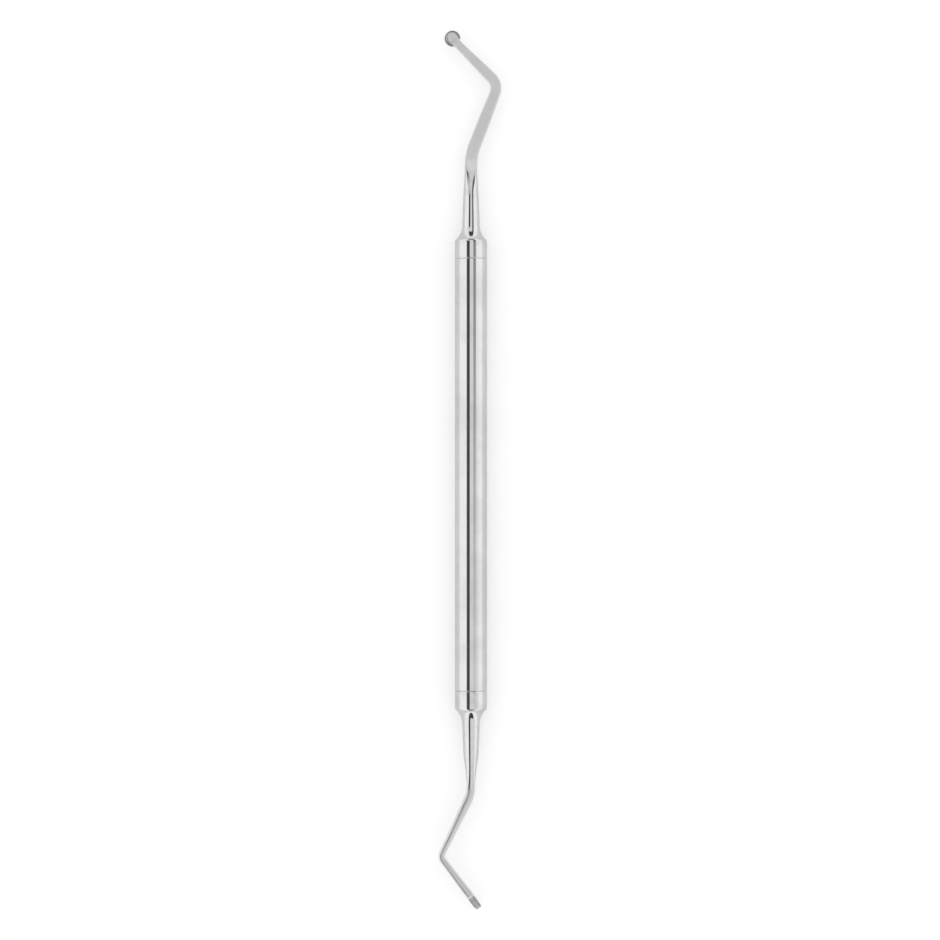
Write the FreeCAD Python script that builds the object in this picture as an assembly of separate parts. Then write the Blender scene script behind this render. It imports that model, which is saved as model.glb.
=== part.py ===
# Double-ended gingival cord packer: a round steel handle with a bent shank soldered into each end.
# Each shank ends in a small round disc with a serrated rim, which tucks cord under the gum.
# The instrument lies on its handle. +Y points to the end whose disc lies flat, +X to the side that
# end's first bend leans to, and +Z up. The origin is on the table under the middle of the length.
import FreeCAD, Part
import math
import os

from collections import namedtuple
from FreeCAD import Vector

# Whole instrument, millimetres and degrees
OVERALL_LENGTH = 165.0
HANDLE_DIAMETER = 6.0
SEAM_CHAMFER = 0.12

# Soldered joint between a shank and the handle
TANG_DIAMETER = 3.6
TANG_LENGTH = 9.0
TANG_CHAMFER = 0.3
SOLDER_GAP = 0.02
SOCKET_AIR = 0.6
DRILL_POINT_ANGLE = 118.0

# Turned root of a shank, from the seam outwards
COLLAR_LENGTH = 3.2
SHOULDER_ROUND = 0.6
SHOULDER_ANGLE = 48.0
CONE_ROOT_DIAMETER = 3.3
CONE_SLOPE = 2.25
FLATS_START = 12.0

# Forged part of a shank: its width lies in the plane of the disc, its thickness across it
FIRST_BEND_WIDTH = 2.30
FIRST_BEND_THICKNESS = 1.60
MIDDLE_WIDTH = 2.26
MIDDLE_THICKNESS = 1.30
SHARP_BEND_WIDTH = 2.02
SHARP_BEND_THICKNESS = 1.16
NECK_WIDTH = 1.52
NECK_THICKNESS = 1.36
SIDE_CROWN = 0.26
NECK_CROWN = 0.22

# Packing disc: flat in the middle, then slanting down to a thinner rim
DISC_DIAMETER = 3.0
DISC_THICKNESS = 1.28
FLAT_DIAMETER = 1.9
RIM_BAND = 0.80
RIM_CHAMFER = 0.10
TONGUE_REACH = 1.05
NOTCHES_PER_TURN = 24
NOTCH_DEPTH = 0.12
NOTCH_FLANK_ANGLE = 50.0
PLAIN_NECK_ANGLE = 43.0

# End whose disc lies in the plane of the bends
FLAT_FIRST_BEND_AT = 19.5
FLAT_FIRST_BEND_ANGLE = 21.3
FLAT_FIRST_BEND_RADIUS = 11.0
FLAT_SHARP_BEND_AFTER = 14.2
FLAT_LAST_ANGLE = 45.0
FLAT_SHARP_BEND_RADIUS = 2.7
FLAT_DISC_AFTER = 12.2

# End whose disc stands across the plane of the bends
CROSS_FIRST_BEND_AT = 19.5
CROSS_FIRST_BEND_ANGLE = 25.8
CROSS_FIRST_BEND_RADIUS = 6.5
CROSS_SHARP_BEND_AFTER = 13.1
CROSS_LAST_ANGLE = 37.2
CROSS_SHARP_BEND_RADIUS = 1.25
CROSS_DISC_AFTER = 10.5

# Sections of the forged part, and how they shrink over the rounded tongue
ROOT_SIDE_ANGLE = 60.0
SECTION_SPACING = 2.5
TONGUE_STEP = 17.0
TONGUE_STEPS = 4
FUSE_TOLERANCE = 1e-4

HANDLE_RADIUS = HANDLE_DIAMETER / 2
TANG_RADIUS = TANG_DIAMETER / 2
SOCKET_RADIUS = TANG_RADIUS + SOLDER_GAP
DISC_RADIUS = DISC_DIAMETER / 2
UP = Vector(0, 0, 1)


def polar(length, degrees):
    """A plane vector of that length, turned from +Y towards +X."""
    return Vector(length * math.sin(math.radians(degrees)), length * math.cos(math.radians(degrees)), 0)


Bend = namedtuple("Bend", "begins ends centre turn")


class Centreline:
    """Middle line of a shank in the XY plane, from the seam along +Y: three runs joined by two bends.

    Each bend's corner, and the disc, is placed by its distance from the one before it.
    """

    def __init__(self, first_at, first_angle, first_radius, sharp_at, last_angle, sharp_radius, disc_at):
        turn = first_angle + last_angle
        first_tangent = first_radius * math.tan(math.radians(first_angle) / 2)
        sharp_tangent = sharp_radius * math.tan(math.radians(turn) / 2)
        self.runs, self.bends = [], []
        self.length = 0.0
        self.end = Vector(0, 0, 0)
        self.heading = 0.0
        self.add_run(first_at - first_tangent)
        self.add_bend(first_radius, first_angle)
        self.add_run(sharp_at - first_tangent - sharp_tangent)
        self.add_bend(sharp_radius, -turn)
        self.add_run(disc_at - sharp_tangent)

    def add_run(self, length):
        self.runs.append((self.length, self.end, self.heading))
        self.end = self.end + polar(length, self.heading)
        self.length += length

    def add_bend(self, radius, turn):
        """Turn about a centre that lies a radius away, to the side that the bend turns to."""
        begins, side = self.length, math.copysign(radius, turn)
        centre = self.end + polar(side, self.heading + 90)
        self.heading += turn
        self.end = centre - polar(side, self.heading + 90)
        self.length += radius * math.radians(abs(turn))
        self.bends.append(Bend(begins, self.length, centre, turn))

    def at(self, distance):
        """Point and heading at a distance from the seam, on a run or straight on past the last one."""
        begins, start, heading = [run for run in self.runs if run[0] <= distance][-1]
        return start + polar(distance - begins, heading), heading


def cone_start():
    """Where the flare of a shank's root ends and its plain cone begins, and the flare's radius."""
    round_drop = SHOULDER_ROUND * (1 - math.cos(math.radians(SHOULDER_ANGLE)))
    drop = HANDLE_RADIUS - CONE_ROOT_DIAMETER / 2 - round_drop
    lean, steep = math.radians(CONE_SLOPE), math.radians(SHOULDER_ANGLE)
    flare = drop / (math.cos(lean) - math.cos(steep))
    flare_from = COLLAR_LENGTH + SHOULDER_ROUND * math.sin(steep)
    return flare_from + flare * (math.sin(steep) - math.sin(lean)), flare


def cone_radius(distance):
    start, _ = cone_start()
    return CONE_ROOT_DIAMETER / 2 - (distance - start) * math.tan(math.radians(CONE_SLOPE))


def slope_arc(start, radius, from_angle, to_angle):
    """An arc of a turned profile, in (radius, distance), whose fall runs from one angle to another."""
    sense = 1 if to_angle > from_angle else -1

    def point(angle):
        a, b = math.radians(from_angle), math.radians(angle)
        along = sense * radius * (math.sin(b) - math.sin(a))
        fall = sense * radius * (math.cos(a) - math.cos(b))
        return start + Vector(-fall, along, 0)

    arc = Part.Arc(start, point((from_angle + to_angle) / 2), point(to_angle))
    return arc.toBSpline().toShape(), point(to_angle)


def line(a, b):
    return Part.LineSegment(a, b).toShape()


def turned(edges):
    """The solid that a closed profile in the XY plane sweeps about the Y axis."""
    face = Part.Face(Part.Wire(Part.__sortEdges__(edges)))
    return face.revolve(Vector(0, 0, 0), Vector(0, 1, 0), 360)


def shank_root():
    """Tang, collar, flared shoulder and plain cone, as far as the forged flats."""
    _, flare = cone_start()
    corners = [
        Vector(0, -TANG_LENGTH, 0),
        Vector(TANG_RADIUS - TANG_CHAMFER, -TANG_LENGTH, 0),
        Vector(TANG_RADIUS, TANG_CHAMFER - TANG_LENGTH, 0),
        Vector(TANG_RADIUS, 0, 0),
        Vector(HANDLE_RADIUS - SEAM_CHAMFER, 0, 0),
        Vector(HANDLE_RADIUS, SEAM_CHAMFER, 0),
        Vector(HANDLE_RADIUS, COLLAR_LENGTH, 0),
    ]
    edges = [line(a, b) for a, b in zip(corners, corners[1:])]
    shoulder, place = slope_arc(corners[-1], SHOULDER_ROUND, 0, SHOULDER_ANGLE)
    flared, place = slope_arc(place, flare, SHOULDER_ANGLE, CONE_SLOPE)
    cone_end = Vector(cone_radius(FLATS_START), FLATS_START, 0)
    axis_end = Vector(0, FLATS_START, 0)
    edges += [shoulder, flared, line(place, cone_end), line(cone_end, axis_end), line(axis_end, corners[0])]
    return turned(edges)


def section_frame(path, distance, disc_across):
    """Middle of a section, and the directions of its width and thickness."""
    middle, heading = path.at(distance)
    sideways = polar(1, heading + 90)
    return (middle, UP, sideways) if disc_across else (middle, sideways, UP)


def arc_piece(place, flat, crown, tall, low, high):
    """Part of a section's rounded edge, about a middle that lies the flat's half width out."""
    begins, ends = math.radians(low), math.radians(high)
    pull = math.tan((ends - begins) / 4) * 4 / 3

    def pole(angle, ahead):
        out = math.cos(angle) - ahead * math.sin(angle)
        return place(flat + out * crown, (math.sin(angle) + ahead * math.cos(angle)) * tall)

    arc = Part.BezierCurve()
    arc.setPoles([pole(begins, 0), pole(begins, pull), pole(ends, -pull), pole(ends, 0)])
    return arc.toShape()


def section(path, distance, size, disc_across):
    """Closed outline of the shank: two faces and, between them, two sides that stand out by a crown."""
    width, thickness, crown = size
    middle, across, through = section_frame(path, distance, disc_across)
    flat, tall = width / 2 - crown, thickness / 2

    def place(x, z):
        return middle + across * x + through * z

    if flat < FUSE_TOLERANCE:
        stops = [-ROOT_SIDE_ANGLE, 0, ROOT_SIDE_ANGLE, 180 - ROOT_SIDE_ANGLE, 180, 180 + ROOT_SIDE_ANGLE]
        stops.append(360 - ROOT_SIDE_ANGLE)
        return Part.Wire([arc_piece(place, 0, crown, tall, a, b) for a, b in zip(stops, stops[1:])])
    right = [arc_piece(place, flat, crown, tall, a, b) for a, b in ((-90, 0), (0, 90))]
    left = [arc_piece(lambda x, z: place(-x, z), flat, crown, tall, a, b) for a, b in ((90, 0), (0, -90))]
    top, below = line(place(flat, tall), place(-flat, tall)), line(place(-flat, -tall), place(flat, -tall))
    return Part.Wire(right + [top] + left + [below])


def between(stations):
    """The (distance, size) stations of a run, with evenly changing ones put in where they lie far apart."""
    filled = [stations[0]]
    for (begins, small), (ends, large) in zip(stations, stations[1:]):
        count = math.ceil((ends - begins) / SECTION_SPACING)
        for i in range(1, count + 1):
            size = tuple(a + (b - a) * i / count for a, b in zip(small, large))
            filled.append((begins + (ends - begins) * i / count, size))
    return filled


def loft(path, stations, disc_across, straight):
    """The solid through the sections at those stations, straight or curved between them."""
    return Part.makeLoft([section(path, at, size, disc_across) for at, size in stations], True, straight)


def swept_bend(path, bend, size, disc_across):
    """One bend of the shank: a single section swept about the bend's centre."""
    face = Part.Face(section(path, bend.begins, size, disc_across))
    return face.revolve(bend.centre, UP, -bend.turn)


def tongue_stations(path):
    """Sections that shrink in a quarter round from the disc's centre towards its tip."""
    stations = []
    for step in range(TONGUE_STEPS + 1):
        angle = math.radians(step * TONGUE_STEP)
        width, thickness = math.cos(angle) * NECK_WIDTH, math.cos(angle) * NECK_THICKNESS
        size = (width, thickness, math.cos(angle) * NECK_CROWN)
        stations.append((path.length + math.sin(angle) * TONGUE_REACH, size))
    return stations


def forged_shank(path, disc_across):
    """The bent, flattened bar from the cone to the disc, with a rounded tongue that fades over the disc."""
    first, sharp = path.bends
    root = (2 * cone_radius(FLATS_START), 2 * cone_radius(FLATS_START), cone_radius(FLATS_START))
    first_size = (FIRST_BEND_WIDTH, FIRST_BEND_THICKNESS, SIDE_CROWN)
    middle_size = (MIDDLE_WIDTH, MIDDLE_THICKNESS, SIDE_CROWN)
    sharp_size = (SHARP_BEND_WIDTH, SHARP_BEND_THICKNESS, SIDE_CROWN)
    neck_size = (NECK_WIDTH, NECK_THICKNESS, NECK_CROWN)
    tongue = tongue_stations(path)
    middle, neck = (first.ends + sharp.begins) / 2, path.length - DISC_RADIUS
    runs = [
        [(FLATS_START, root), (first.begins, first_size)],
        between([(first.ends, first_size), (middle, middle_size), (sharp.begins, sharp_size)]),
        between([(sharp.ends, sharp_size), (neck, neck_size), tongue[0]]),
    ]
    solids = [loft(path, stations, disc_across, True) for stations in runs]
    solids.append(swept_bend(path, first, first_size, disc_across))
    solids.append(swept_bend(path, sharp, sharp_size, disc_across))
    solids.append(loft(path, tongue, disc_across, False))
    return solids


def disc_blank():
    """A plain disc about the Y axis, centred on the origin: flat middle, slanted fall, broken rim edges."""
    half, band = DISC_THICKNESS / 2, RIM_BAND / 2
    above = [
        Vector(DISC_RADIUS, band, 0),
        Vector(DISC_RADIUS - RIM_CHAMFER, band + RIM_CHAMFER, 0),
        Vector(FLAT_DIAMETER / 2, half, 0),
        Vector(0, half, 0),
    ]
    corners = above + [Vector(p.x, -p.y, 0) for p in reversed(above)]
    return turned([line(a, b) for a, b in zip(corners, corners[1:] + corners[:1])])


def notch():
    """One V-shaped notch through the rim, at the +Z side of the disc blank."""
    beyond = NOTCH_DEPTH
    valley = DISC_RADIUS - NOTCH_DEPTH
    half_width = (NOTCH_DEPTH + beyond) * math.tan(math.radians(NOTCH_FLANK_ANGLE))
    corners = [
        Vector(0, -DISC_THICKNESS, valley),
        Vector(half_width, -DISC_THICKNESS, DISC_RADIUS + beyond),
        Vector(-half_width, -DISC_THICKNESS, DISC_RADIUS + beyond),
    ]
    face = Part.Face(Part.makePolygon(corners + corners[:1]))
    return face.extrude(Vector(0, 2 * DISC_THICKNESS, 0))


def serrated_disc():
    """The packing disc, a tooth at its tip towards +Z, and no notches where the neck joins."""
    pitch = 360 / NOTCHES_PER_TURN
    each_way = int((180 - PLAIN_NECK_ANGLE) / pitch + 0.5)
    cutters = []
    for i in range(-each_way, each_way):
        cutter = notch()
        cutter.rotate(Vector(0, 0, 0), Vector(0, 1, 0), (i + 0.5) * pitch)
        cutters.append(cutter)
    return disc_blank().cut(cutters)


def placed_disc(path, disc_across):
    """The disc set on the end of the centreline, its tip pointing along the last run."""
    middle, across, through = section_frame(path, path.length, disc_across)
    ahead = polar(1, path.heading)
    side = through.cross(ahead)
    turn = FreeCAD.Matrix(
        side.x, through.x, ahead.x, middle.x,
        side.y, through.y, ahead.y, middle.y,
        side.z, through.z, ahead.z, middle.z,
        0, 0, 0, 1,
    )
    disc = serrated_disc()
    disc.Placement = FreeCAD.Placement(turn)
    return disc


def working_end(path, disc_across):
    """One shank in one piece, from its tang to its disc, with the seam at the origin."""
    pieces = forged_shank(path, disc_across) + [placed_disc(path, disc_across)]
    return shank_root().fuse(pieces, FUSE_TOLERANCE).removeSplitter()


def handle(top, bottom):
    """Plain round bar between the two seams, with a drilled socket in each end."""
    socket_depth = TANG_LENGTH + SOCKET_AIR
    point = SOCKET_RADIUS / math.tan(math.radians(DRILL_POINT_ANGLE / 2))

    def end_profile(seam, inwards):
        return [
            Vector(0, seam + inwards * (socket_depth + point), 0),
            Vector(SOCKET_RADIUS, seam + inwards * socket_depth, 0),
            Vector(SOCKET_RADIUS, seam, 0),
            Vector(HANDLE_RADIUS - SEAM_CHAMFER, seam, 0),
            Vector(HANDLE_RADIUS, seam + inwards * SEAM_CHAMFER, 0),
        ]

    corners = end_profile(top, -1) + end_profile(bottom, 1)[::-1]
    bar = turned([line(a, b) for a, b in zip(corners, corners[1:] + corners[:1])])
    bar.translate(Vector(0, 0, HANDLE_RADIUS))
    return bar


def reach(path, disc_across):
    """How far a working end stands out past its seam, along the handle's axis."""
    if not disc_across:
        return path.end.y + DISC_RADIUS
    lean = math.radians(abs(path.heading))
    edges = [(DISC_RADIUS, RIM_BAND / 2), (DISC_RADIUS - RIM_CHAMFER, RIM_BAND / 2 + RIM_CHAMFER)]
    return path.end.y + max(out * math.cos(lean) + up * math.sin(lean) for out, up in edges)


def main():
    flat_path = Centreline(
        FLAT_FIRST_BEND_AT, FLAT_FIRST_BEND_ANGLE, FLAT_FIRST_BEND_RADIUS,
        FLAT_SHARP_BEND_AFTER, FLAT_LAST_ANGLE, FLAT_SHARP_BEND_RADIUS, FLAT_DISC_AFTER,
    )
    cross_path = Centreline(
        CROSS_FIRST_BEND_AT, CROSS_FIRST_BEND_ANGLE, CROSS_FIRST_BEND_RADIUS,
        CROSS_SHARP_BEND_AFTER, CROSS_LAST_ANGLE, CROSS_SHARP_BEND_RADIUS, CROSS_DISC_AFTER,
    )
    top = OVERALL_LENGTH / 2 - reach(flat_path, False)
    bottom = reach(cross_path, True) - OVERALL_LENGTH / 2

    flat_end = working_end(flat_path, False)
    flat_end.translate(Vector(0, top, HANDLE_RADIUS))
    cross_end = working_end(cross_path, True)
    cross_end.rotate(Vector(0, 0, 0), UP, 180)
    cross_end.translate(Vector(0, bottom, HANDLE_RADIUS))

    os.makedirs("parts", exist_ok=True)
    pieces = {"handle": handle(top, bottom), "flat_disc_end": flat_end, "cross_disc_end": cross_end}
    for name, solid in pieces.items():
        solid.exportStep("parts/" + name + ".step")


main()
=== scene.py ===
# Looks of a double-ended gingival cord packer: a mirror-polished round handle with a bent shank in
# each end, polished at its collar and cone, satin on its forged bends and its serrated packing disc.
# Shapes are worked out in millimetres and written to the meshes in metres. Each shank is described
# from its own seam with the handle: +Y along the shank, +X to the side that its first bend leans to.
import math

import bpy
from mathutils import Matrix, Vector


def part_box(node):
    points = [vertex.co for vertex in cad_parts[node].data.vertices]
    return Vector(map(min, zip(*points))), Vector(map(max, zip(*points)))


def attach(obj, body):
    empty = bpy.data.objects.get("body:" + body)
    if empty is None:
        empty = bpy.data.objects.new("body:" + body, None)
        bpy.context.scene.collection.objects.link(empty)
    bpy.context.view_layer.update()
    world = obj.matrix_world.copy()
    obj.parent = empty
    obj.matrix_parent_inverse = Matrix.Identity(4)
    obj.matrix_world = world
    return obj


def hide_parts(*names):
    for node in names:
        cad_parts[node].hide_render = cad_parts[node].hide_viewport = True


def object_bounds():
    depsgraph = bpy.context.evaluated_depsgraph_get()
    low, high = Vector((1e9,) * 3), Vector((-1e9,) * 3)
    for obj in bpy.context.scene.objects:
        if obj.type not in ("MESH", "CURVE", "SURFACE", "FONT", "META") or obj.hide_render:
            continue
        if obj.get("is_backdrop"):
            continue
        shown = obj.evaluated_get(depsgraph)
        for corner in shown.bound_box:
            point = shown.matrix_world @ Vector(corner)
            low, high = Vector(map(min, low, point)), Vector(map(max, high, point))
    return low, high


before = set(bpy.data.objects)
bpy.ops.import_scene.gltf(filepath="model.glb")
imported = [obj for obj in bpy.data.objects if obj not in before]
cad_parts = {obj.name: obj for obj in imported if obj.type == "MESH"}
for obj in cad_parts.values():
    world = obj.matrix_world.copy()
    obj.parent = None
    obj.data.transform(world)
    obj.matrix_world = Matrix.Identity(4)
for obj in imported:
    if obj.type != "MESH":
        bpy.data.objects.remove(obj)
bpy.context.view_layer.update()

MM = 0.001

# The handle, from the frame
HANDLE_LOW, HANDLE_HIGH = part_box("handle")
HANDLE_RADIUS = (HANDLE_HIGH.z - HANDLE_LOW.z) / 2 / MM
BOTTOM_SEAM, TOP_SEAM = HANDLE_LOW.y / MM, HANDLE_HIGH.y / MM

# Turned root of a shank, from its tang outwards
TANG_DIAMETER = 3.6
TANG_LENGTH = 9.0
TANG_CHAMFER = 0.3
SEAM_CHAMFER = 0.12
COLLAR_LENGTH = 3.2
SHOULDER_ROUND = 0.6
SHOULDER_ANGLE = 48.0
CONE_ROOT_DIAMETER = 3.3
CONE_SLOPE = 2.25
FLATS_START = 12.0

# Broken edges at the seams: how far a corner is softened, and how soon the polished bar is straight
EDGE_ROUND = 0.03
STRAIGHT_FROM = 0.10

# Socket in each end of the handle
SOLDER_GAP = 0.02
SOCKET_AIR = 0.6
DRILL_POINT_ANGLE = 118.0

# Forged part of a shank: width in the plane of the disc, thickness across it, and how far its sides
# stand out past its flat faces
FIRST_BEND_SIZE = (2.30, 1.60, 0.26)
MIDDLE_SIZE = (2.26, 1.30, 0.26)
SHARP_BEND_SIZE = (2.02, 1.16, 0.26)
NECK_SIZE = (1.52, 1.36, 0.22)

# Where the round cone turns flat: half the angle of the round that becomes a side, and the power of
# the way along by which the faces flatten
ROOT_SIDE_ANGLE = 60.0
FLATTENING = 1.8

# Packing disc, and the neck's faces, which sink into it between two places ahead of its centre
DISC_RADIUS = 1.5
DISC_THICKNESS = 1.28
FLAT_RADIUS = 0.95
RIM_BAND = 0.80
RIM_CHAMFER = 0.10
CREASE_BLEND = 0.05
SINK_FROM, SINK_TO, SINK_DEPTH = -1.15, 0.35, 0.06
NOTCHES_PER_TURN = 24
NOTCH_DEPTH = 0.12
NOTCH_FLANK_ANGLE = 50.0
PLAIN_NECK_ANGLE = 45.0
NOTCHED_WITHIN = 1.05

# Fineness of the skins
EDGE_STEPS = 12
FLAT_STEPS = 8
SIDE_STEPS = 16
ROOT_ARC_STEPS = 12
RUN_STEP = 0.4
BEND_STEP_ANGLE = 3.0
COLUMNS_PER_NOTCH = 11
JUNCTION_COLUMNS = 40
LATHE_SEGMENTS = 144
EDGE_ROUND_STEPS = 3
SHARP_EDGE_ANGLE = 32.0
MERGE_WITHIN = 1e-6

# Where the disc's skin takes over from the shank's, behind the disc's centre, how softly they blend,
# and the angle off the neck by which its crowned sides have died away
HEAD_BEHIND = 2.15
JUNCTION_BLEND = 0.30
FACE_BLEND = 0.03
NECK_SIDES_END = 34.0

# Finish of a shank: the satin begins beyond the cone, at distances from the seam. The rim's cut finish,
# with its colour darkened as painted shade for the shade inside its fine teeth, begins and is full at radii
# of the disc, stops short of the plain neck and is weaker on the edge.
SATIN_FROM, SATIN_FULL = 17.5, 21.0
CUT_AND_SHADE_FROM, CUT_AND_SHADE_FULL = 1.10, 1.22
CUT_AND_SHADE_FADES_OVER = 6.0
CUT_AND_SHADE_ON_EDGE = 0.35

# Colours, and roughness: between the polishing lines, on them, and what a smudge adds
POLISHED_COLOUR = (0.82, 0.82, 0.82, 1.0)
SMUDGED_COLOUR = (0.74, 0.74, 0.74, 1.0)
SATIN_COLOUR = (0.84, 0.84, 0.835, 1.0)
SATIN_LINE_COLOUR = (0.79, 0.79, 0.785, 1.0)
# Painted shade: the cut rim's dark colour stands in for the shade inside its fine teeth
PAINTED_RIM_SHADE_COLOUR = (0.30, 0.30, 0.30, 1.0)
HANDLE_ROUGHNESS = (0.055, 0.085, 0.05)
ROOT_ROUGHNESS = (0.05, 0.08, 0.04)
SATIN_ROUGHNESS = (0.27, 0.34, 0.05)
CUT_ROUGHNESS = 0.35

# Studio, in metres, and degrees off straight up: a grey card in a dark frame overhead, and two wings
# that lighten the frame on one side each. Every panel begins, is full, begins to fade and ends at the
# four angles, sideways and lengthways.
FLOOR_WIDTH = 4.0
PAPER_TONE = 0.76
PAPER_LIFT = 0.30
FRAME_SIDES, FRAME_ENDS = (-34, -28, 33, 39), (-88, -78, 74, 84)
CARD_SIDES, CARD_ENDS = (-10, -7, 16, 19), (-44, -40, 42, 46)
LEFT_WING_SIDES, LEFT_WING_ENDS = (-60, -40, 0, 8), (10, 26, 42, 46)
RIGHT_WING_SIDES, RIGHT_WING_ENDS = (0, 8, 44, 64), (-44, -40, -8, 11)
CARD_BRIGHTNESS, FRAME_BRIGHTNESS = 0.76, 0.06
CAMERA_LENS = 135.0
FRAME_MARGIN = 1.07


def polar(length, degrees):
    """A plane vector of that length, turned from +Y towards +X."""
    return Vector((length * math.sin(math.radians(degrees)), length * math.cos(math.radians(degrees)), 0))


class Centreline:
    """Middle line of a shank in the XY plane, from the seam along +Y: three runs joined by two bends.

    Each bend's corner, and the disc, is placed by its distance from the one before it.
    """

    def __init__(self, first_at, first_angle, first_radius, sharp_at, last_angle, sharp_radius, disc_at):
        turn = first_angle + last_angle
        first_tangent = first_radius * math.tan(math.radians(first_angle) / 2)
        sharp_tangent = sharp_radius * math.tan(math.radians(turn) / 2)
        self.pieces = []
        self.length = 0.0
        self.end = Vector((0, 0, 0))
        self.heading = 0.0
        self.add_run(first_at - first_tangent)
        self.add_bend(first_radius, first_angle)
        self.add_run(sharp_at - first_tangent - sharp_tangent)
        self.add_bend(sharp_radius, -turn)
        self.add_run(disc_at - sharp_tangent)

    def add_run(self, length):
        self.pieces.append((self.length, self.end, self.heading, None))
        self.end = self.end + polar(length, self.heading)
        self.length += length

    def add_bend(self, radius, turn):
        """Turn about a centre that lies a radius away, to the side that the bend turns to."""
        side = math.copysign(radius, turn)
        self.pieces.append((self.length, self.end, self.heading, side))
        self.end = self.bent(self.end, self.heading, side, turn)
        self.heading += turn
        self.length += radius * math.radians(abs(turn))

    @staticmethod
    def bent(start, heading, side, turn):
        return start + polar(side, heading + 90) - polar(side, heading + turn + 90)

    def at(self, distance):
        """Point and heading at a distance from the seam; past the last run it goes straight on."""
        begins, start, heading, side = [p for p in self.pieces if p[0] <= max(distance, 0)][-1]
        along = distance - begins
        if side is None:
            return start + polar(along, heading), heading
        turn = math.degrees(along / side)
        return self.bent(start, heading, side, turn), heading + turn

    def marks(self):
        """Distances where the bends begin and end, and the disc's centre."""
        return [p[0] for p in self.pieces[1:]] + [self.length]


FLAT_DISC_PATH = Centreline(19.5, 21.3, 11.0, 14.2, 45.0, 2.7, 12.2)
CROSS_DISC_PATH = Centreline(19.5, 25.8, 6.5, 13.1, 37.2, 1.25, 10.5)


def smooth_law(stations):
    """A smooth curve through (distance, value) pairs that never overshoots between two of them."""
    places, values = zip(*stations)
    steps = [b - a for a, b in zip(places, places[1:])]
    slopes = [(b - a) / h for a, b, h in zip(values, values[1:], steps)]
    tangents = [slopes[0]]
    for before, after in zip(slopes, slopes[1:]):
        same_way = before * after > 0
        tangents.append(2 * before * after / (before + after) if same_way else 0.0)
    tangents.append(slopes[-1])

    def law(place):
        place = min(max(place, places[0]), places[-1])
        i = max(k for k in range(len(steps)) if places[k] <= place)
        h = steps[i]
        t = (place - places[i]) / h
        rise = values[i] * (2 * t**3 - 3 * t**2 + 1) + values[i + 1] * (3 * t**2 - 2 * t**3)
        lean = tangents[i] * (t**3 - 2 * t**2 + t) + tangents[i + 1] * (t**3 - t**2)
        return rise + lean * h

    return law


def smooth_max(a, b, blend):
    """The greater of two values, rounded over where they come within a blend of each other."""
    near = max(blend - abs(a - b), 0.0)
    return max(a, b) + near * near / (4 * blend)


def smooth_min(a, b, blend):
    return -smooth_max(-a, -b, blend)


def smooth_step(low, high, value):
    t = min(max((value - low) / (high - low), 0.0), 1.0)
    return t * t * (3 - 2 * t)


# Turned root

def cone_start():
    """Where the flare ends and the plain cone begins, and the flare's radius."""
    round_drop = SHOULDER_ROUND * (1 - math.cos(math.radians(SHOULDER_ANGLE)))
    drop = HANDLE_RADIUS - CONE_ROOT_DIAMETER / 2 - round_drop
    lean, steep = math.radians(CONE_SLOPE), math.radians(SHOULDER_ANGLE)
    flare = drop / (math.cos(lean) - math.cos(steep))
    flare_from = COLLAR_LENGTH + SHOULDER_ROUND * math.sin(steep)
    return flare_from + flare * (math.sin(steep) - math.sin(lean)), flare


def cone_radius(distance):
    start, _ = cone_start()
    return CONE_ROOT_DIAMETER / 2 - (distance - start) * math.tan(math.radians(CONE_SLOPE))


def slope_arc(start, radius, from_angle, to_angle):
    """Points of a turned profile, (distance, radius), whose fall runs from one angle to another."""
    sense = 1 if to_angle > from_angle else -1
    first = math.radians(from_angle)
    points = []
    for i in range(1, ROOT_ARC_STEPS + 1):
        angle = math.radians(from_angle + (to_angle - from_angle) * i / ROOT_ARC_STEPS)
        along = sense * radius * (math.sin(angle) - math.sin(first))
        fall = sense * radius * (math.cos(first) - math.cos(angle))
        points.append((start[0] + along, start[1] - fall))
    return points


def softened(before, corner, after, reach):
    """Three points that take the sharpness off a corner of a profile."""
    before, corner, after = Vector(before), Vector(corner), Vector(after)
    a = corner + (before - corner).normalized() * reach
    b = corner + (after - corner).normalized() * reach
    return [tuple(a), tuple((a + 2 * corner + b) / 4), tuple(b)]


def root_profile():
    """(distance, radius) of the tang, collar, shoulder, flare and cone."""
    tang = TANG_DIAMETER / 2
    tip, step = (-TANG_LENGTH, tang - TANG_CHAMFER), (0, tang)
    tang_edge = (TANG_CHAMFER - TANG_LENGTH, tang)
    face_edge, chamfer_edge = (0, HANDLE_RADIUS - SEAM_CHAMFER), (SEAM_CHAMFER, HANDLE_RADIUS)
    collar_end = (COLLAR_LENGTH, HANDLE_RADIUS)
    _, flare = cone_start()
    profile = [tip, tang_edge, step]
    profile += softened(step, face_edge, chamfer_edge, EDGE_ROUND)
    profile += softened(face_edge, chamfer_edge, collar_end, EDGE_ROUND)
    straight = (SEAM_CHAMFER + STRAIGHT_FROM, COLLAR_LENGTH - STRAIGHT_FROM)
    profile += [(place, HANDLE_RADIUS) for place in straight] + [collar_end]
    profile += slope_arc(collar_end, SHOULDER_ROUND, 0, SHOULDER_ANGLE)
    profile += slope_arc(profile[-1], flare, SHOULDER_ANGLE, CONE_SLOPE)
    cone_from = profile[-1][0]
    steps = math.ceil((FLATS_START - cone_from) / RUN_STEP)
    places = [cone_from + (FLATS_START - cone_from) * i / steps for i in range(1, steps + 1)]
    return profile + [(place, cone_radius(place)) for place in places]


# Sections of the shank

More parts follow.
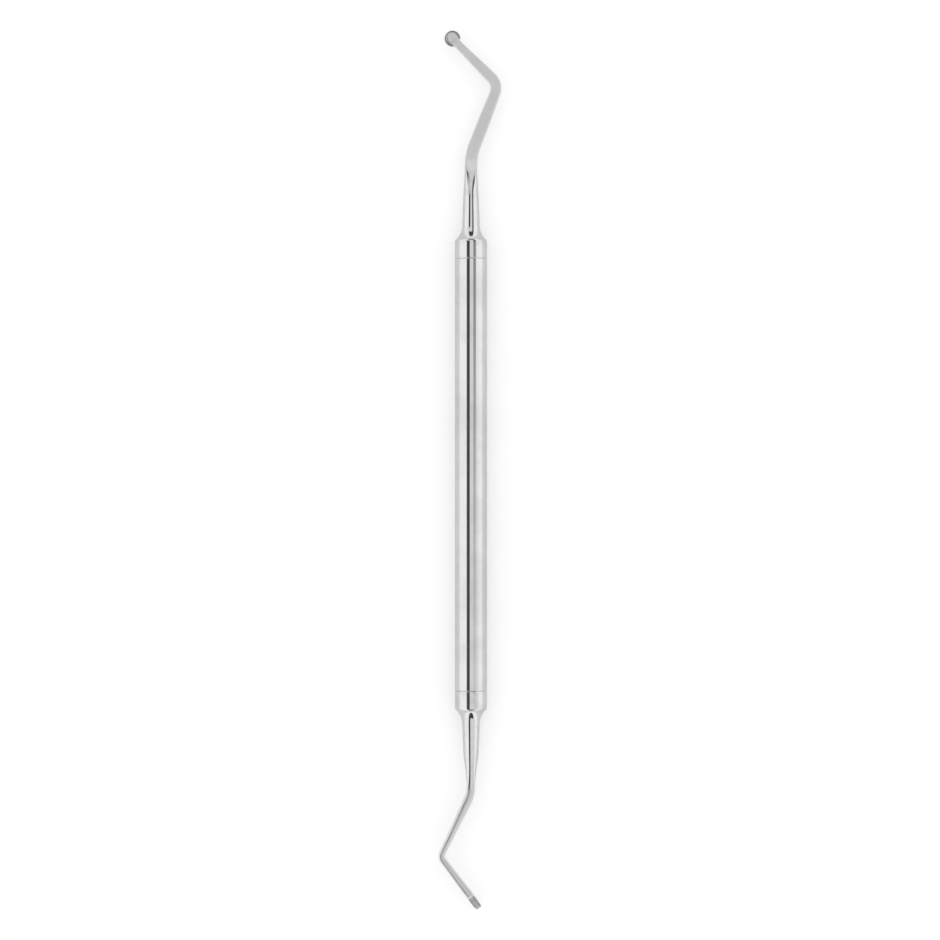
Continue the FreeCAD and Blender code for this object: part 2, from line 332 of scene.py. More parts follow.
TOP_STEPS = 2 * (EDGE_STEPS + FLAT_STEPS)
SIDE_SHARE = RIM_BAND / NECK_SIZE[1]
TOP_FROM = math.asin(SIDE_SHARE) / (math.pi / 2)
EDGE_MARKS = [TOP_FROM + (1 - TOP_FROM) * i / EDGE_STEPS for i in range(EDGE_STEPS)]
HALF_TOP_MARKS = EDGE_MARKS + [1 + i / FLAT_STEPS for i in range(FLAT_STEPS)]
SIDE_MARKS = [TOP_FROM * (1 - 2 * j / SIDE_STEPS) for j in range(1, SIDE_STEPS)]
SIDE_SHARES = [math.sin(mark * math.pi / 2) / SIDE_SHARE for mark in SIDE_MARKS]


def outline_point(mark, size):
    """Point of a section: mark 0 is the middle of a side, 1 the end of a face, 2 the face's middle."""
    width, thickness, crown, flatness = size
    half, tall = width / 2, thickness / 2
    flat = half - crown
    if mark <= 1:
        turn = mark * math.pi / 2
        bar = Vector((flat + crown * math.cos(turn), tall * math.sin(turn)))
        turn = math.radians(ROOT_SIDE_ANGLE) * mark
    else:
        bar = Vector((flat * (2 - mark), tall))
        turn = math.radians(ROOT_SIDE_ANGLE + (90 - ROOT_SIDE_ANGLE) * (mark - 1))
    return Vector((half * math.cos(turn), tall * math.sin(turn))).lerp(bar, flatness)


def oval(size):
    """Points round a section, in order: across the top, down one side, back below, up the other."""
    right = [outline_point(mark, size) for mark in HALF_TOP_MARKS]
    top = right + [outline_point(2, size)] + [Vector((-p.x, p.y)) for p in reversed(right)]
    side = [outline_point(abs(mark), size) for mark in SIDE_MARKS]
    left = [Vector((-p.x, math.copysign(p.y, mark))) for p, mark in zip(side, SIDE_MARKS)]
    return top + left + [-p for p in top + left]


def half_thickness(across, width, thickness, crown):
    """Half the thickness of a flat-faced section at a place across its width."""
    out = max(abs(across) - (width / 2 - crown), 0.0) / crown
    return thickness / 2 * math.sqrt(max(1 - out * out, 0.0))


def shank_size_law(path):
    """Width, thickness, crown of the sides and flatness of the forged part, at any distance."""
    first_begins, first_ends, sharp_begins, sharp_ends, disc = path.marks()
    stations = [
        (FLATS_START, (2 * cone_radius(FLATS_START), 2 * cone_radius(FLATS_START))),
        (first_begins, FIRST_BEND_SIZE),
        (first_ends, FIRST_BEND_SIZE),
        ((first_ends + sharp_begins) / 2, MIDDLE_SIZE),
        (sharp_begins, SHARP_BEND_SIZE),
        (sharp_ends, SHARP_BEND_SIZE),
        (disc - DISC_RADIUS, NECK_SIZE),
        (disc, NECK_SIZE),
    ]
    width, thickness = [smooth_law([(place, size[part]) for place, size in stations]) for part in (0, 1)]
    crown = smooth_law([(place, size[2]) for place, size in stations[1:]])

    def law(distance):
        share = min(max((distance - FLATS_START) / (first_begins - FLATS_START), 0.0), 1.0)
        return width(distance), thickness(distance), crown(distance), share**FLATTENING

    return law


def forged_stations(path):
    """Distances of the forged part's sections: even along the runs, closer round the bends."""
    last = path.length - HEAD_BEHIND
    stops = [FLATS_START] + [mark for mark in path.marks() if mark < last] + [last]
    places = []
    for low, high in zip(stops, stops[1:]):
        _, _, _, side = [p for p in path.pieces if p[0] <= low][-1]
        step = RUN_STEP if side is None else abs(side) * math.radians(BEND_STEP_ANGLE)
        count = math.ceil((high - low) / step)
        places += [low + (high - low) * i / count for i in range(1, count + 1)]
    return places


# Skin of one working end

class Skin:
    """A mesh in the making. Every point keeps its place in the straightened shank as well."""

    def __init__(self, path, disc_across):
        self.path = path
        self.disc_across = disc_across
        self.points = []
        self.unbent = []
        self.cut = []
        self.faces = []

    def axes(self, distance):
        """Middle, width direction, thickness direction and heading of the shank at a distance."""
        middle, heading = self.path.at(distance)
        sideways, ahead, up = polar(1, heading + 90), polar(1, heading), Vector((0, 0, 1))
        return (middle, up, -sideways, ahead) if self.disc_across else (middle, sideways, up, ahead)

    def point(self, distance, across, through, cut=0.0):
        middle, width_way, thickness_way, _ = self.axes(distance)
        self.points.append(middle + width_way * across + thickness_way * through)
        self.unbent.append((across, distance, through))
        self.cut.append(cut)
        return len(self.points) - 1

    def ring(self, distance, size):
        return [self.point(distance, x, z) for x, z in oval(size)]

    def sleeve(self, rings):
        """Quads between rings that follow each other along +Y."""
        for near, far in zip(rings, rings[1:]):
            for j in range(len(near)):
                k = (j + 1) % len(near)
                self.faces.append((near[j], far[j], far[k], near[k]))

    def fan(self, pole, loop):
        for j in range(len(loop)):
            self.faces.append((pole, loop[j], loop[(j + 1) % len(loop)]))


def disc_height(radius):
    """Half the disc's thickness at a radius: flat, then a slant, then the broken rim edge."""
    half, band = DISC_THICKNESS / 2, RIM_BAND / 2
    fall = (half - band - RIM_CHAMFER) / (DISC_RADIUS - RIM_CHAMFER - FLAT_RADIUS)
    slant = half - (radius - FLAT_RADIUS) * fall
    edge = band + DISC_RADIUS - radius
    return smooth_min(smooth_min(half, slant, CREASE_BLEND), edge, CREASE_BLEND)


def neck_height(ahead, across, size_law, disc_at):
    """Half the neck's thickness where its faces run out over the disc and sink into it."""
    width, thickness, crown, _ = size_law(disc_at + min(ahead, 0.0))
    sunk = SINK_DEPTH * smooth_step(SINK_FROM, SINK_TO, ahead)
    ended = RIM_BAND / 2 * smooth_step(SINK_TO, FLAT_RADIUS, ahead)
    return half_thickness(across, width, thickness, crown) - sunk - ended


# Rows of the head's faces, by the share of the way out from the disc's centre: closest where the
# neck sinks in and at the rim
ROW_SHARES = (
    [0.12, 0.24, 0.34]
    + [0.40 + 0.03 * i for i in range(14)]
    + [0.82, 0.85, 0.875, 0.895]
    + [0.91 + 0.01 * i for i in range(9)]
)


class Head:
    """The disc and the neck behind it, in rows about the disc's centre and columns from it outwards."""

    def __init__(self, skin, last_ring, size_law):
        self.skin = skin
        self.size_law = size_law
        self.last_ring = last_ring
        self.size = size_law(skin.path.length - HEAD_BEHIND)
        self.half_neck = outline_point(TOP_FROM, self.size).x
        self.corner = math.atan2(self.half_neck, HEAD_BEHIND)

    def place(self, ahead, across, through):
        cut = self.cut_finish_and_shade(ahead, across, through)
        return self.skin.point(self.skin.path.length + ahead, across, through, cut)

    @staticmethod
    def cut_finish_and_shade(ahead, across, through):
        """How much of the rim's cut finish, and of the painted shade that darkens its teeth, a point has."""
        off_neck = math.degrees(abs(math.atan2(across, -ahead)))
        on_rim = smooth_step(CUT_AND_SHADE_FROM, CUT_AND_SHADE_FULL, math.hypot(ahead, across))
        past_neck = smooth_step(PLAIN_NECK_ANGLE - CUT_AND_SHADE_FADES_OVER, PLAIN_NECK_ANGLE, off_neck)
        on_face = smooth_step(RIM_BAND / 2 - RIM_CHAMFER, RIM_BAND / 2 + RIM_CHAMFER / 2, abs(through))
        return on_rim * past_neck * (CUT_AND_SHADE_ON_EDGE + (1 - CUT_AND_SHADE_ON_EDGE) * on_face)

    def rim_reach(self, off_neck):
        """How far out the edge lies, at an angle off the neck's direction."""
        if off_neck >= math.pi / 2:
            return DISC_RADIUS
        neck = self.half_neck / math.sin(off_neck)
        return smooth_max(DISC_RADIUS, neck, JUNCTION_BLEND)

    def edge_columns(self):
        """Angles off the neck, on the +across side first, of the columns that end at the edge."""
        pitch = math.radians(360 / NOTCHES_PER_TURN)
        notched = math.pi - math.radians(PLAIN_NECK_ANGLE)
        count = 2 * round(notched / pitch * COLUMNS_PER_NOTCH)
        step = pitch / COLUMNS_PER_NOTCH
        round_rim = [math.pi - (count - 1) / 2 * step + i * step for i in range(count)]
        joint = [
            self.corner + (round_rim[0] - self.corner) * i / JUNCTION_COLUMNS
            for i in range(JUNCTION_COLUMNS)
        ]
        return joint + round_rim + [2 * math.pi - angle for angle in reversed(joint)]

    def edge_point(self, angle):
        """Ahead and across of the edge at an angle off the neck."""
        reach = self.rim_reach(min(angle, 2 * math.pi - angle))
        return -reach * math.cos(angle), reach * math.sin(angle)

    def height(self, ahead, across):
        disc = disc_height(math.hypot(ahead, across))
        neck = neck_height(ahead, across, self.size_law, self.skin.path.length)
        return max(smooth_max(disc, neck, FACE_BLEND), RIM_BAND / 2)

    def side_bulge(self, share):
        """How far the shank's side stands out past its top skin, at a share of the side's height."""
        mark = math.asin(SIDE_SHARE * abs(share)) / (math.pi / 2)
        return outline_point(mark, self.size).x - self.half_neck

    def build(self):
        angles = self.edge_columns()
        edge = [self.edge_point(angle) for angle in angles]
        ring, turn_back = self.last_ring, TOP_STEPS + SIDE_STEPS
        top = [ring[0]] + [self.place(a, c, RIM_BAND / 2) for a, c in edge[1:-1]] + [ring[TOP_STEPS]]
        below = (
            [ring[turn_back + TOP_STEPS]]
            + [self.place(a, c, -RIM_BAND / 2) for a, c in edge[1:-1]]
            + [ring[turn_back]]
        )
        self.band(angles, edge, top, below)
        inner = range(TOP_STEPS - 1, 0, -1)
        section = oval(self.size)
        back = [(-HEAD_BEHIND, section[i].x) for i in inner]
        self.face(edge + back, top + [ring[i] for i in inner], 1)
        self.face(edge + back, below + [ring[turn_back + TOP_STEPS - i] for i in inner], -1)

    def band(self, angles, edge, top, below):
        """The rim's edge and the neck's sides, between the two faces."""
        rows = [top]
        ring = self.last_ring
        for j, share in enumerate(SIDE_SHARES, 1):
            row = [ring[-j]]
            for angle, (ahead, across) in list(zip(angles, edge))[1:-1]:
                off_neck = min(angle, 2 * math.pi - angle)
                fade = 1 - smooth_step(self.corner, math.radians(NECK_SIDES_END), off_neck)
                bulge = math.copysign(self.side_bulge(share) * fade, across)
                row.append(self.place(ahead, across + bulge, share * RIM_BAND / 2))
            row.append(ring[TOP_STEPS + j])
            rows.append(row)
        rows.append(below)
        for upper, lower in zip(rows, rows[1:]):
            for c in range(len(upper) - 1):
                self.skin.faces.append((upper[c], lower[c], lower[c + 1], upper[c + 1]))

    def face(self, outline, outline_points, side):
        """One broad face of the head, from a pole at the disc's centre out to its outline."""
        pole = self.place(0, 0, side * self.height(0, 0))
        rows = []
        for share in ROW_SHARES:
            rows.append([
                self.place(share * a, share * c, side * self.height(share * a, share * c))
                for a, c in outline
            ])
        rows.append(outline_points)
        count = len(outline)
        for c in range(count):
            d = (c + 1) % count
            triangle = (pole, rows[0][c], rows[0][d])
            self.skin.faces.append(triangle[::side])
            for near, far in zip(rows, rows[1:]):
                quad = (near[c], far[c], far[d], near[d])
                self.skin.faces.append(quad[::side])


def working_end_skin(path, disc_across):
    """The whole skin of a shank in its own frame, from the tang's end to the disc's tip."""
    skin = Skin(path, disc_across)
    size_law = shank_size_law(path)
    rings = [skin.ring(place, (2 * radius, 2 * radius, 0.0, 0.0)) for place, radius in root_profile()]
    rings += [skin.ring(place, size_law(place)) for place in forged_stations(path)]
    skin.sleeve(rings)
    skin.fan(skin.point(-TANG_LENGTH, 0, 0), rings[0])
    Head(skin, rings[-1], size_law).build()
    return skin


# Node trees

class Graph:
    """Writes a node tree as formulas: each call adds a node and gives back its output."""

    def __init__(self, tree):
        self.tree = tree

    def fill(self, socket, value):
        if isinstance(value, bpy.types.NodeSocket):
            self.tree.links.new(value, socket)
        else:
            socket.default_value = value

    def add(self, kind, inputs=None, **settings):
        node = self.tree.nodes.new(kind)
        for name, value in settings.items():
            setattr(node, name, value)
        for name, value in (inputs or {}).items():
            self.fill(node.inputs[name], value)
        return node

    def math(self, operation, *values):
        node = self.add("ShaderNodeMath", operation=operation)
        for socket, value in zip(node.inputs, values):
            self.fill(socket, value)
        return node.outputs[0]

    def vector(self, operation, *values):
        node = self.add("ShaderNodeVectorMath", operation=operation)
        for socket, value in zip(node.inputs, values):
            self.fill(socket, value)
        return node.outputs["Value" if operation in ("DOT_PRODUCT", "LENGTH") else "Vector"]

    def combine(self, x, y, z):
        return self.add("ShaderNodeCombineXYZ", {"X": x, "Y": y, "Z": z}).outputs[0]

    def separate(self, vector):
        return self.add("ShaderNodeSeparateXYZ", {"Vector": vector}).outputs

    def ranged(self, value, low, high, new_low=0.0, new_high=1.0, **settings):
        """The value moved from one range to another and held inside it."""
        inputs = {"Value": value, "From Min": low, "From Max": high, "To Min": new_low, "To Max": new_high}
        return self.add("ShaderNodeMapRange", inputs, **settings).outputs[0]

    def mix(self, factor, a, b, data_type="FLOAT"):
        node = self.add("ShaderNodeMix", data_type=data_type)
        first = {"FLOAT": 2, "VECTOR": 4, "RGBA": 6}[data_type]
        for place, value in ((0, factor), (first, a), (first + 1, b)):
            self.fill(node.inputs[place], value)
        return node.outputs[{"FLOAT": 0, "VECTOR": 1, "RGBA": 2}[data_type]]

    def noise(self, vector, scale, detail=2.0, roughness=0.5):
        inputs = {"Vector": vector, "Scale": scale, "Detail": detail, "Roughness": roughness}
        return self.add("ShaderNodeTexNoise", inputs).outputs[0]


def new_tree(name, kind, inputs, outputs):
    """A node group with named sockets, each (name, socket type, default or None)."""
    tree = bpy.data.node_groups.new(name, kind)
    for sockets, way in ((inputs, "INPUT"), (outputs, "OUTPUT")):
        for socket, socket_type, *default in sockets:
            made = tree.interface.new_socket(socket, in_out=way, socket_type=socket_type)
            if default:
                made.default_value = default[0]
    graph = Graph(tree)
    return tree, graph, graph.add("NodeGroupInput").outputs, graph.add("NodeGroupOutput").inputs


FLOAT, VECTOR, INTEGER = "NodeSocketFloat", "NodeSocketVector", "NodeSocketInt"
GEOMETRY, MATERIAL = "NodeSocketGeometry", "NodeSocketMaterial"


def turned_bar_tree():
    """A round bar along Y with a drilled socket in each end, turned from one profile."""
    tree, g, given, result = new_tree("Turned bar", "GeometryNodeTree", [
        ("Middle", VECTOR), ("Length", FLOAT), ("Diameter", FLOAT), ("Seam Chamfer", FLOAT),
        ("Socket Diameter", FLOAT), ("Socket Depth", FLOAT), ("Drill Point Angle", FLOAT),
        ("Edge Round", FLOAT), ("Straight From", FLOAT), ("Segments", INTEGER), ("Material", MATERIAL),
    ], [("Geometry", GEOMETRY)])
    radius = g.math("MULTIPLY", given["Diameter"], 0.5)
    socket = g.math("MULTIPLY", given["Socket Diameter"], 0.5)
    half_point = g.math("TANGENT", g.math("MULTIPLY", given["Drill Point Angle"], 0.5))
    drill_tip = g.math("ADD", given["Socket Depth"], g.math("DIVIDE", socket, half_point))
    face_edge = g.math("SUBTRACT", radius, given["Seam Chamfer"])

    index = g.add("GeometryNodeInputIndex").outputs[0]
    upper = g.math("GREATER_THAN", index, 5.5)
    corner = g.mix(upper, index, g.math("SUBTRACT", 11.0, index))

    def by_corner(values):
        switch = g.add("GeometryNodeIndexSwitch", data_type="FLOAT")
        while len(switch.index_switch_items) < len(values):
            switch.index_switch_items.new()
        g.fill(switch.inputs["Index"], corner)
        for place, value in enumerate(values):
            g.fill(switch.inputs[place + 1], value)
        return switch.outputs[0]

    straight = g.math("ADD", given["Seam Chamfer"], given["Straight From"])
    out = by_corner([0.0, socket, socket, face_edge, radius, radius])
    inset = by_corner([drill_tip, given["Socket Depth"], 0.0, 0.0, given["Seam Chamfer"], straight])
    from_middle = g.math("SUBTRACT", g.math("MULTIPLY", given["Length"], 0.5), inset)
    along = g.math("MULTIPLY", from_middle, g.mix(upper, -1.0, 1.0))
    corners = g.add("GeometryNodeMeshLine", {"Count": 12}).outputs[0]
    profile = g.add("GeometryNodeSetPosition", {"Geometry": corners, "Position": g.combine(out, along, 0.0)})
    profile = g.add("GeometryNodeMeshToCurve", {"Mesh": profile.outputs[0]}).outputs[0]
    profile = g.add("GeometryNodeFilletCurve", {
        "Curve": profile, "Count": EDGE_ROUND_STEPS, "Radius": given["Edge Round"], "Limit Radius": True,
    }, mode="POLY").outputs[0]
    points = g.add("GeometryNodeAttributeDomainSize", {"Geometry": profile}, component="CURVE").outputs[0]

    around = g.math("ADD", given["Segments"], 1.0)
    grid = g.add("GeometryNodeMeshGrid", {"Vertices X": points, "Vertices Y": around}).outputs[0]
    row = g.math("FLOOR", g.math("DIVIDE", g.math("ADD", index, 0.5), around))
    column = g.math("SUBTRACT", index, g.math("MULTIPLY", row, around))
    turn = g.math("MULTIPLY", g.math("DIVIDE", column, given["Segments"]), 2 * math.pi)
    sampled = g.add("GeometryNodeSampleIndex", {
        "Geometry": profile, "Value": g.add("GeometryNodeInputPosition").outputs[0], "Index": row,
    }, data_type="FLOAT_VECTOR").outputs[0]
    profile_x, profile_y, _ = g.separate(sampled)
    round_place = g.combine(
        g.math("MULTIPLY", profile_x, g.math("SINE", turn)), profile_y,
        g.math("MULTIPLY", profile_x, g.math("COSINE", turn)),
    )
    bar = g.add("GeometryNodeSetPosition", {
        "Geometry": grid, "Position": g.vector("ADD", round_place, given["Middle"]),
    }).outputs[0]
    bar = g.add("GeometryNodeMergeByDistance", {"Geometry": bar, "Distance": MERGE_WITHIN}).outputs[0]
    finished(g, bar, given["Material"], result)
    return tree


def scaled(g, vector, amount):
    return g.vector("MULTIPLY", vector, g.combine(amount, amount, amount))


def serrated_rim_tree():
    """V-shaped notches pressed into the rim of a round disc, and none where the neck joins it."""
    tree, g, given, result = new_tree("Serrated rim", "GeometryNodeTree", [
        ("Geometry", GEOMETRY), ("Centre", VECTOR), ("Tip Direction", VECTOR), ("Across Direction", VECTOR),
        ("Disc Radius", FLOAT), ("Notches per Turn", INTEGER), ("Notch Depth", FLOAT),
        ("Flank Angle", FLOAT), ("Plain Neck Angle", FLOAT), ("Material", MATERIAL),
    ], [("Geometry", GEOMETRY)])
    tip, across = given["Tip Direction"], given["Across Direction"]
    place = g.vector("SUBTRACT", g.add("GeometryNodeInputPosition").outputs[0], given["Centre"])
    ahead, sideways = g.vector("DOT_PRODUCT", place, tip), g.vector("DOT_PRODUCT", place, across)
    flat = g.vector("ADD", scaled(g, tip, ahead), scaled(g, across, sideways))
    above = g.vector("LENGTH", g.vector("SUBTRACT", place, flat))
    out = g.math("MAXIMUM", g.vector("LENGTH", flat), MERGE_WITHIN)
    angle = g.math("ARCTAN2", sideways, ahead)

    pitch = g.math("DIVIDE", 2 * math.pi, given["Notches per Turn"])
    from_valley = g.math("ABSOLUTE", g.math(
        "SUBTRACT", g.math("FLOORED_MODULO", angle, pitch), g.math("MULTIPLY", pitch, 0.5)))
    valley = g.math("SUBTRACT", given["Disc Radius"], given["Notch Depth"])
    flank = g.math("DIVIDE", g.math("SINE", from_valley), g.math("TANGENT", given["Flank Angle"]))
    wall = g.math("DIVIDE", valley, g.math("SUBTRACT", g.math("COSINE", from_valley), flank))
    pressed = g.math("DIVIDE", g.math("MINIMUM", out, wall), out)

    notched = g.math("SUBTRACT", math.pi, given["Plain Neck Angle"])
    on_rim = g.math("LESS_THAN", g.math("ABSOLUTE", angle), notched)
    reach = g.math("MULTIPLY", given["Disc Radius"], NOTCHED_WITHIN)
    near = g.math("LESS_THAN", g.math("MAXIMUM", out, above), reach)
    rim = g.add("GeometryNodeSetPosition", {
        "Geometry": given["Geometry"], "Selection": g.math("MULTIPLY", on_rim, near),
        "Offset": scaled(g, flat, g.math("SUBTRACT", pressed, 1.0)),
    }).outputs[0]
    finished(g, rim, given["Material"], result)
    return tree


def finished(g, geometry, material, result):
    """Realize what was built and give it its material."""
    real = g.add("GeometryNodeRealizeInstances", {"Geometry": geometry}).outputs[0]
    painted = g.add("GeometryNodeSetMaterial", {"Geometry": real, "Material": material}).outputs[0]
    g.fill(result["Geometry"], painted)


def shaped(name, mesh, tree, values):
    """A finished piece: the mesh put through a geometry tree with those inputs, as a plain mesh."""
    piece = bpy.data.objects.new(name, mesh)
    bpy.context.scene.collection.objects.link(piece)
    modifier = piece.modifiers.new(tree.name, "NODES")
    modifier.node_group = tree
    for item in tree.interface.items_tree:
        if item.in_out == "INPUT" and item.name in values:
            modifier[item.identifier] = values[item.name]
    bpy.context.view_layer.update()
    evaluated = piece.evaluated_get(bpy.context.evaluated_depsgraph_get())
    plain = bpy.data.meshes.new_from_object(evaluated)
    piece.modifiers.clear()
    piece.data = plain
    plain.shade_smooth()
    plain.set_sharp_from_angle(angle=math.radians(SHARP_EDGE_ANGLE))
    return piece


# Finishes

def polishing_lines_group():
    """Fine lines left by the polishing wheel, drawn out along Y."""
    tree, g, given, result = new_tree("Polishing lines", "ShaderNodeTree", [
        ("Place", VECTOR), ("Spacing", FLOAT, 0.1), ("Length", FLOAT, 6.0),
    ], [("Lines", FLOAT)])
    across, along = g.math("DIVIDE", 1.0, given["Spacing"]), g.math("DIVIDE", 1.0, given["Length"])
    drawn = g.vector("MULTIPLY", given["Place"], g.combine(across, along, across))
    g.fill(result["Lines"], g.ranged(g.noise(drawn, 1.0, 3.0, 0.6), 0.3, 0.7))
    return tree


def handling_marks_group():
    """Faint smudges and a few hairline scratches from use and from sterilising trays."""
    tree, g, given, result = new_tree("Handling marks", "ShaderNodeTree", [
        ("Place", VECTOR), ("Smudge Size", FLOAT, 4.0), ("Scratch Spacing", FLOAT, 0.5),
    ], [("Smudges", FLOAT), ("Scratches", FLOAT)])
    smudges = g.noise(given["Place"], g.math("DIVIDE", 1.0, given["Smudge Size"]), 3.0, 0.55)
    g.fill(result["Smudges"], g.ranged(smudges, 0.38, 0.68, interpolation_type="SMOOTHSTEP"))
    close = g.math("DIVIDE", 1.0, given["Scratch Spacing"])
    x, y, z = g.separate(given["Place"])
    slanted = g.combine(
        g.math("MULTIPLY", g.math("ADD", x, g.math("MULTIPLY", y, 0.6)), close),
        g.math("MULTIPLY", g.math("SUBTRACT", y, x), 0.12), g.math("MULTIPLY", z, close),
    )
    g.fill(result["Scratches"], g.ranged(g.noise(slanted, 1.0, 4.0, 0.7), 0.66, 0.72))
    return tree


def finish_nodes(name):
    """A new metal material: its graph, its Principled shader, and a place for its patterns."""
    material = bpy.data.materials.new(name)
    material.use_nodes = True
    g = Graph(material.node_tree)
    shader = material.node_tree.nodes["Principled BSDF"]
    shader.inputs["Metallic"].default_value = 1.0
    return material, g, shader


def in_millimetres(g, vector):
    return g.vector("MULTIPLY", vector, (1 / MM, 1 / MM, 1 / MM))


def use_group(g, tree, **inputs):
    node = g.tree.nodes.new("ShaderNodeGroup")
    node.node_tree = tree
    for name, value in inputs.items():
        g.fill(node.inputs[name.replace("_", " ")], value)
    return node.outputs


def roughness(g, lines, smudges, amounts):
    """Roughness that follows the polishing lines, and the smudges on top."""
    between, on_line, smudge_adds = amounts
    worked = g.ranged(lines, 0.0, 1.0, between, on_line)
    return g.math("ADD", worked, g.math("MULTIPLY", smudges, smudge_adds))


def polished_steel(lines_group, marks_group):
    """Mirror-polished bar of the handle."""
    material, g, shader = finish_nodes("Mirror-polished steel")
    place = in_millimetres(g, g.add("ShaderNodeTexCoord").outputs["Object"])
    lines = use_group(g, lines_group, Place=place, Spacing=0.09, Length=9.0)["Lines"]
    marks = use_group(g, marks_group, Place=place, Smudge_Size=7.0, Scratch_Spacing=0.4)
    g.fill(shader.inputs["Base Color"], g.mix(marks["Smudges"], POLISHED_COLOUR, SMUDGED_COLOUR, "RGBA"))
    rough = roughness(g, lines, marks["Smudges"], HANDLE_ROUGHNESS)
    scratched = g.math("MULTIPLY", marks["Scratches"], 0.12)
    g.fill(shader.inputs["Roughness"], g.math("ADD", rough, scratched))
    bump = g.add("ShaderNodeBump", {"Strength": 0.25, "Distance": 2e-7, "Height": lines}).outputs[0]
    g.fill(shader.inputs["Normal"], bump)
    return material


def working_end_steel(lines_group, marks_group):
    """Steel of a shank: mirror-polished root, then a satin finish along the forged part and the disc.

    The patterns follow the bends, because they read the place of each point in the straightened shank.
    """
    material, g, shader = finish_nodes("Polished and satin steel")
    place = g.add("ShaderNodeAttribute", attribute_name="unbent").outputs["Vector"]
    _, along, _ = g.separate(place)
    border = g.math("ADD", along, g.math("MULTIPLY", g.noise(place, 0.8, 2.0), 2.4))
    satin = g.ranged(border, SATIN_FROM, SATIN_FULL, interpolation_type="SMOOTHSTEP")
    lines = use_group(g, lines_group, Place=place, Spacing=0.07, Length=3.5)["Lines"]
    marks = use_group(g, marks_group, Place=place, Smudge_Size=2.5, Scratch_Spacing=0.35)
    polished = g.mix(marks["Smudges"], POLISHED_COLOUR, SMUDGED_COLOUR, "RGBA")
    brushed = g.mix(lines, SATIN_LINE_COLOUR, SATIN_COLOUR, "RGBA")
    # The rim's mask darkens the colour as painted shade for its fine teeth, and roughens it as the cut finish
    cut = g.add("ShaderNodeAttribute", attribute_name="cut").outputs["Fac"]
    finish = g.mix(satin, polished, brushed, "RGBA")
    g.fill(shader.inputs["Base Color"], g.mix(cut, finish, PAINTED_RIM_SHADE_COLOUR, "RGBA"))
    smooth = roughness(g, lines, marks["Smudges"], ROOT_ROUGHNESS)
    matt = roughness(g, lines, marks["Smudges"], SATIN_ROUGHNESS)
    scratched = g.math("MULTIPLY", marks["Scratches"], 0.10)
    worked = g.math("ADD", g.mix(satin, smooth, matt), scratched)
    g.fill(shader.inputs["Roughness"], g.mix(cut, worked, CUT_ROUGHNESS))
    depth = g.math("MULTIPLY", lines, g.mix(satin, 0.1, 1.0))
    bump = g.add("ShaderNodeBump", {"Strength": 0.35, "Distance": 2e-6, "Height": depth}).outputs[0]
    g.fill(shader.inputs["Normal"], bump)
    return material


# Pieces

def skin_mesh(name, skin, placement):
    """The skin as a mesh in the row frame, with its straightened places and its cut finish and painted rim
    shade as attributes.
    """
    mesh = bpy.data.meshes.new(name)
    mesh.from_pydata([tuple(placement @ point * MM) for point in skin.points], [], skin.faces)
    unbent = mesh.attributes.new("unbent", "FLOAT_VECTOR", "POINT")
    unbent.data.foreach_set("vector", [value for place in skin.unbent for value in place])
    cut = mesh.attributes.new("cut", "FLOAT", "POINT")
    cut.data.foreach_set("value", skin.cut)
    return mesh


def working_end(node, path, disc_across, placement, tree, material):
    skin = working_end_skin(path, disc_across)
    middle, width_way, _, ahead = skin.axes(path.length)
    turn = placement.to_3x3()
    piece = shaped(node + "_skin", skin_mesh(node, skin, placement), tree, {
        "Centre": placement @ middle * MM,
        "Tip Direction": turn @ ahead, "Across Direction": turn @ width_way,
        "Disc Radius": DISC_RADIUS * MM, "Notch Depth": NOTCH_DEPTH * MM,
        "Notches per Turn": NOTCHES_PER_TURN, "Flank Angle": math.radians(NOTCH_FLANK_ANGLE),
        "Plain Neck Angle": math.radians(PLAIN_NECK_ANGLE), "Material": material,
    })
    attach(piece, "root")
    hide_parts(node)


def handle(tree, material):
    piece = shaped("handle_bar", bpy.data.meshes.new("handle"), tree, {
        "Middle": Vector((0, (TOP_SEAM + BOTTOM_SEAM) / 2, HANDLE_RADIUS)) * MM,
        "Length": (TOP_SEAM - BOTTOM_SEAM) * MM, "Diameter": 2 * HANDLE_RADIUS * MM,
        "Seam Chamfer": SEAM_CHAMFER * MM, "Socket Diameter": (TANG_DIAMETER + 2 * SOLDER_GAP) * MM,
        "Socket Depth": (TANG_LENGTH + SOCKET_AIR) * MM, "Drill Point Angle": math.radians(DRILL_POINT_ANGLE),
        "Edge Round": EDGE_ROUND * MM, "Straight From": STRAIGHT_FROM * MM, "Segments": LATHE_SEGMENTS,
        "Material": material,
    })
    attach(piece, "root")
    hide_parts("handle")


# Studio

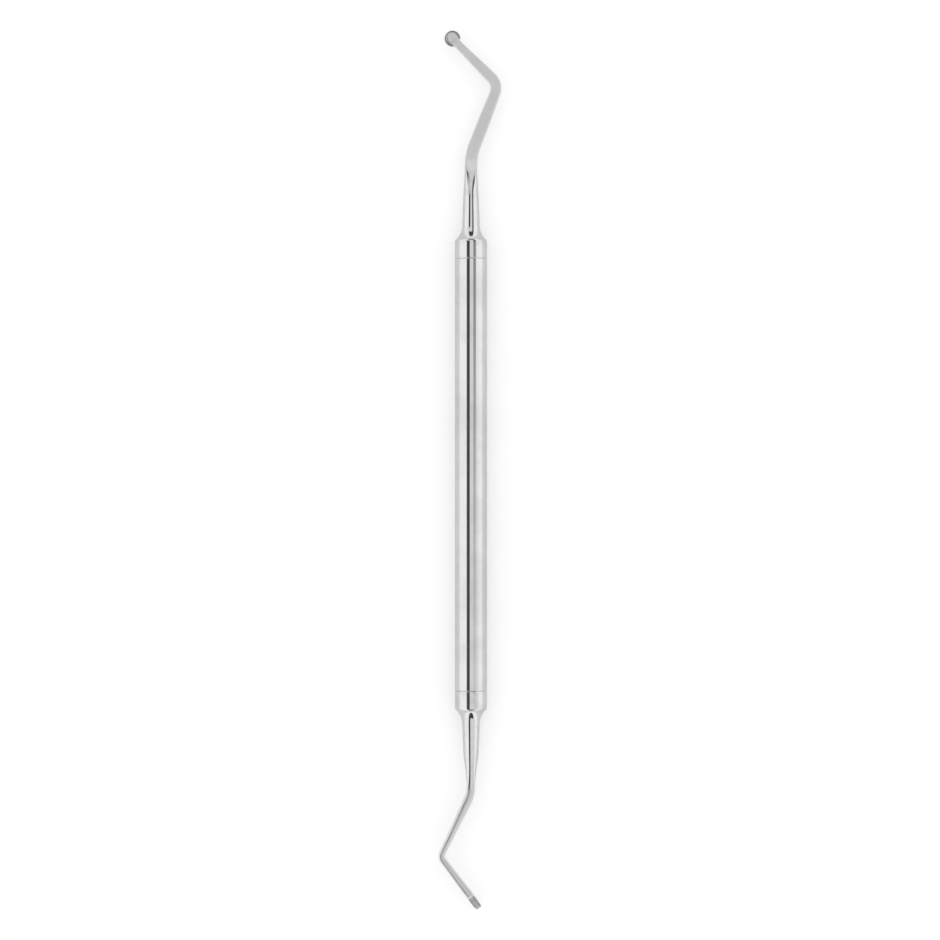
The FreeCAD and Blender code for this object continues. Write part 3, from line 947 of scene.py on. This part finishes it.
def floor():
    half = FLOOR_WIDTH / 2
    corners = [(-half, -half, 0), (half, -half, 0), (half, half, 0), (-half, half, 0)]
    mesh = bpy.data.meshes.new("floor")
    mesh.from_pydata(corners, [], [(0, 1, 2, 3)])
    piece = bpy.data.objects.new("floor", mesh)
    bpy.context.scene.collection.objects.link(piece)
    material = bpy.data.materials.new("White paper")
    material.use_nodes = True
    g = Graph(material.node_tree)
    shader = material.node_tree.nodes["Principled BSDF"]
    shader.inputs["Base Color"].default_value = (PAPER_TONE, PAPER_TONE, PAPER_TONE, 1.0)
    shader.inputs["Roughness"].default_value = 0.9
    shader.inputs["Specular IOR Level"].default_value = 0.0
    shader.inputs["Emission Color"].default_value = (1.0, 1.0, 1.0, 1.0)
    seen = g.add("ShaderNodeLightPath").outputs["Is Camera Ray"]
    g.fill(shader.inputs["Emission Strength"], g.math("MULTIPLY", seen, PAPER_LIFT))
    mesh.materials.append(material)
    piece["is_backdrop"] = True


def studio_light():
    """White all round, with a grey card in a dark frame overhead, both seen only in the steel."""
    world = bpy.data.worlds.new("Light tent")
    world.use_nodes = True
    bpy.context.scene.world = world
    g = Graph(world.node_tree)
    x, y, z = g.separate(g.add("ShaderNodeTexCoord").outputs["Generated"])
    sideways = g.math("DEGREES", g.math("ARCTAN2", x, z))
    lengthways = g.math("DEGREES", g.math("ARCTAN2", y, z))

    def within(value, begins, full, fades, ends):
        """One between the two middle angles, falling smoothly to nought at the outer two."""
        rise = g.ranged(value, begins, full, interpolation_type="SMOOTHSTEP")
        fall = g.ranged(value, fades, ends, 1.0, 0.0, interpolation_type="SMOOTHSTEP")
        return g.math("MULTIPLY", rise, fall)

    def panel(sides, ends):
        return g.math("MULTIPLY", within(sideways, *sides), within(lengthways, *ends))

    framed = g.mix(panel(FRAME_SIDES, FRAME_ENDS), 1.0, FRAME_BRIGHTNESS)
    left = panel(LEFT_WING_SIDES, LEFT_WING_ENDS)
    right = panel(RIGHT_WING_SIDES, RIGHT_WING_ENDS)
    grey = g.math("MAXIMUM", panel(CARD_SIDES, CARD_ENDS), g.math("MAXIMUM", left, right))
    overhead = g.mix(grey, framed, CARD_BRIGHTNESS)
    in_steel = g.add("ShaderNodeLightPath").outputs["Is Glossy Ray"]
    shown = g.mix(in_steel, 1.0, overhead)
    g.fill(world.node_tree.nodes["Background"].inputs["Color"], g.combine(shown, shown, shown))


def camera():
    """Straight down on the instrument, its length up the frame."""
    low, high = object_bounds()
    middle = (low + high) / 2
    data = bpy.data.cameras.new("camera")
    data.lens = CAMERA_LENS
    seen = (high.y - low.y) * FRAME_MARGIN
    piece = bpy.data.objects.new("camera", data)
    piece.location = (middle.x, middle.y, middle.z + seen * data.lens / data.sensor_width)
    bpy.context.scene.collection.objects.link(piece)
    bpy.context.scene.camera = piece


def main():
    lines, marks = polishing_lines_group(), handling_marks_group()
    steel = working_end_steel(lines, marks)
    handle(turned_bar_tree(), polished_steel(lines, marks))
    rim = serrated_rim_tree()
    at_top = Matrix.Translation((0, TOP_SEAM, HANDLE_RADIUS))
    at_bottom = Matrix.Translation((0, BOTTOM_SEAM, HANDLE_RADIUS)) @ Matrix.Rotation(math.pi, 4, "Z")
    working_end("flat_disc_end", FLAT_DISC_PATH, False, at_top, rim, steel)
    working_end("cross_disc_end", CROSS_DISC_PATH, True, at_bottom, rim, steel)
    floor()
    studio_light()
    camera()
    bpy.context.scene.view_settings.view_transform = "Standard"


main()
